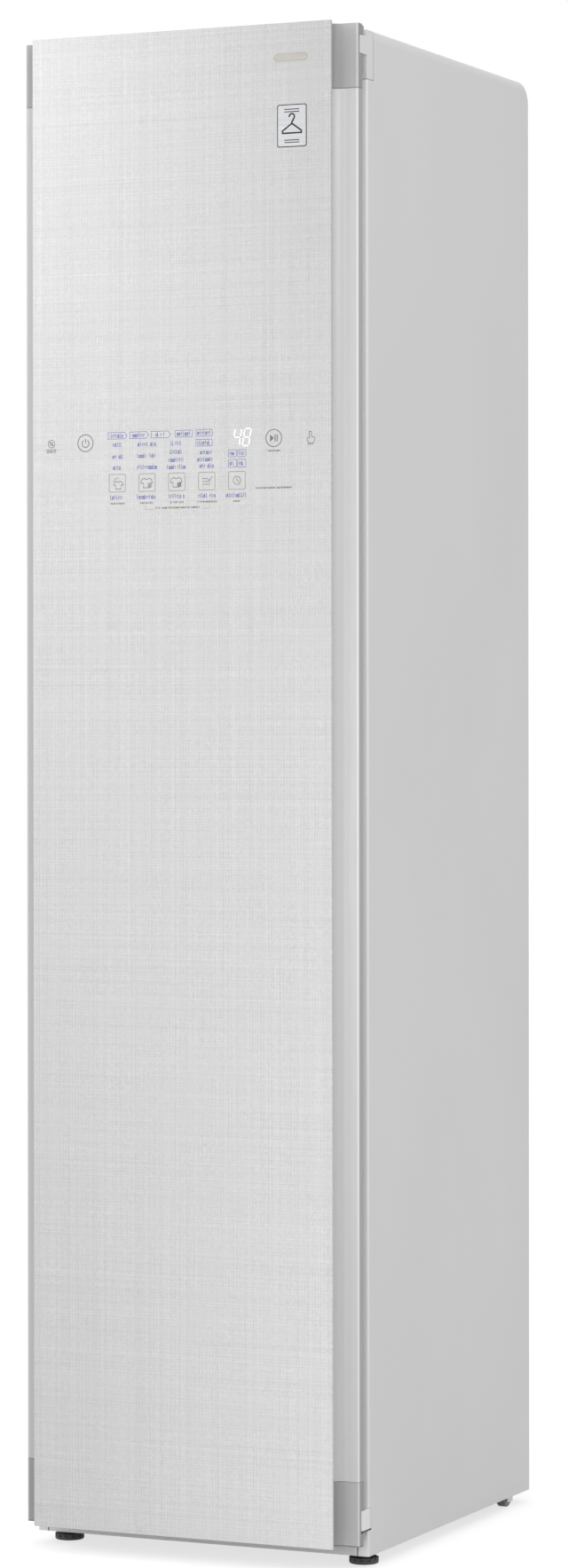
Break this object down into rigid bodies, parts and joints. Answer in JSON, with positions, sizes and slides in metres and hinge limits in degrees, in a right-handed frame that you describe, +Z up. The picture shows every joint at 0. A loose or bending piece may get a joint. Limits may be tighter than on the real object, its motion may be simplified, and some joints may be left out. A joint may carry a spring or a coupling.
{
  "type": "clothes drying cabinet",
  "caption": "Tall narrow clothes drying cabinet with a linen-pattern glass door on a side hinge, a hanging chamber and a machine room.",
  "frame": {"origin": "on the floor under the middle of the cabinet's outline, door included", "axes": "+X to the right seen from the front, +Y to the rear, +Z up; the door faces -Y"},
  "size_m": [0.446, 0.586, 1.85],
  "materials": {
    "white_enamel": "white enamelled sheet, satin",
    "white_plastic": "white moulded plastic, satin",
    "panel_glass": "back-printed tempered glass, silver linen pattern",
    "trim_grey": "light grey satin trim",
    "cap_grey": "mid grey moulded plastic",
    "chamber_white": "warm white moulded lining",
    "dark_plastic": "dark moulded plastic",
    "tank_blue": "blue tinted clear plastic",
    "tank_grey": "pale grey plastic",
    "fin_aluminium": "thin pressed fins",
    "cast_aluminium": "cast, grey",
    "rail_aluminium": "anodised",
    "cast_black": "black painted steel",
    "bare_steel": "zinc plated",
    "seal_rubber": "soft grey seal",
    "press_grey": "grey moulded plastic",
    "hanger_grey": "grey moulded plastic",
    "wheel_grey": "grey nylon",
    "pad_grey": "dark grey hard plastic"
  },
  "bodies": {
    "cabinet": {"side_panel_left": "white_enamel", "side_panel_right": "white_enamel", "top_cover": "white_enamel", "back_cover": "white_enamel", "power_inlet": "dark_plastic", "base_tray": "dark_plastic", "kick_plate": "white_enamel", "front_post_left": "white_enamel", "front_post_right": "white_enamel", "front_header": "white_enamel", "front_sill": "white_plastic", "corner_cap_left": "white_plastic", "upper_hinge_arm": "white_plastic", "lower_hinge_arm": "white_enamel", "upper_hinge_pin": "bare_steel", "chamber_wall_left": "chamber_white", "chamber_wall_right": "chamber_white", "chamber_back": "chamber_white", "chamber_ceiling": "chamber_white", "chamber_floor": "chamber_white", "tank_bay_wall": "chamber_white", "supply_tank": "tank_blue", "drain_tank": "tank_grey", "air_duct": "dark_plastic", "evaporator": "fin_aluminium", "condenser": "fin_aluminium", "fan_case": "dark_plastic", "blower_motor": "cast_black", "compressor": "cast_black", "steam_generator": "cast_aluminium", "control_box": "white_plastic", "shaker_motor": "cast_black", "roller_bracket_left": "bare_steel", "roller_bracket_right": "bare_steel"},
    "door": {"door_glass": "panel_glass", "door_core": "dark_plastic", "door_cap_top": "cap_grey", "door_cap_bottom": "cap_grey", "door_trim_left": "trim_grey", "door_trim_right": "trim_grey", "door_liner": "chamber_white", "door_gasket": "seal_rubber", "display_module": "dark_plastic", "press_frame": "press_grey"},
    "press": {"press_plate": "press_grey"},
    "rail": {"hanger_rail": "rail_aluminium"},
    "crank": {"crank_disc": "bare_steel"},
    "left_hanger": {"hanger_left": "hanger_grey"},
    "middle_hanger": {"hanger_middle": "hanger_grey"},
    "right_hanger": {"hanger_right": "hanger_grey"},
    "filter": {"lint_filter": "press_grey"},
    "cartridge": {"aroma_cartridge": "tank_blue"},
    "rack": {"shelf_rack": "hanger_grey"},
    "fan": {"blower_wheel": "chamber_white"},
    "left_roller": {"roller_wheel_left": "wheel_grey"},
    "right_roller": {"roller_wheel_right": "wheel_grey"},
    "left_leg": {"leg_stud_left": "bare_steel", "leg_pad_left": "pad_grey"},
    "right_leg": {"leg_stud_right": "bare_steel", "leg_pad_right": "pad_grey"}
  },
  "joints": [
    {"name": "door_hinge", "type": "hinge", "parent": "cabinet", "child": "door", "pos_m": [0.216, -0.25, 0.9], "axis": [0, 0, 1], "range_deg": [0, 110]},
    {"name": "press_hinge", "type": "hinge", "parent": "door", "child": "press", "pos_m": [-0.089, -0.22655, 0.925], "axis": [0, 0, 1], "range_deg": [0, 60]},
    {"name": "rail_shake", "type": "slide", "parent": "cabinet", "child": "rail", "axis": [1, 0, 0], "range_m": [-0.02, 0.02]},
    {"name": "crank_turn", "type": "hinge", "parent": "cabinet", "child": "crank", "pos_m": [0, 0, 1.777], "axis": [0, 0, 1], "continuous": true},
    {"name": "left_hanger_swing", "type": "hinge", "parent": "rail", "child": "left_hanger", "pos_m": [-0.09, 0, 1.6943], "axis": [1, 0, 0], "range_deg": [-10, 10]},
    {"name": "middle_hanger_swing", "type": "hinge", "parent": "rail", "child": "middle_hanger", "pos_m": [0, 0, 1.6943], "axis": [1, 0, 0], "range_deg": [-10, 10]},
    {"name": "right_hanger_swing", "type": "hinge", "parent": "rail", "child": "right_hanger", "pos_m": [0.09, 0, 1.6943], "axis": [1, 0, 0], "range_deg": [-10, 10]},
    {"name": "filter_lift", "type": "slide", "parent": "cabinet", "child": "filter", "axis": [0, 0, 1], "range_m": [0, 0.12]},
    {"name": "cartridge_lift", "type": "slide", "parent": "cabinet", "child": "cartridge", "axis": [0, 0, 1], "range_m": [0, 0.09]},
    {"name": "rack_lift", "type": "slide", "parent": "cabinet", "child": "rack", "axis": [0, 0, 1], "range_m": [0, 0.1]},
    {"name": "fan_spin", "type": "hinge", "parent": "cabinet", "child": "fan", "pos_m": [0.07, 0.13, 0.335], "axis": [0, 1, 0], "continuous": true},
    {"name": "left_roller_spin", "type": "hinge", "parent": "cabinet", "child": "left_roller", "pos_m": [-0.208, 0.234, 0.012], "axis": [1, 0, 0], "continuous": true},
    {"name": "right_roller_spin", "type": "hinge", "parent": "cabinet", "child": "right_roller", "pos_m": [0.208, 0.234, 0.012], "axis": [1, 0, 0], "continuous": true},
    {"name": "left_leg_turn", "type": "hinge", "parent": "cabinet", "child": "left_leg", "pos_m": [-0.1993, -0.1983, 0.005], "axis": [0, 0, 1], "continuous": true},
    {"name": "right_leg_turn", "type": "hinge", "parent": "cabinet", "child": "right_leg", "pos_m": [0.1993, -0.1983, 0.005], "axis": [0, 0, 1], "continuous": true}
  ]
}
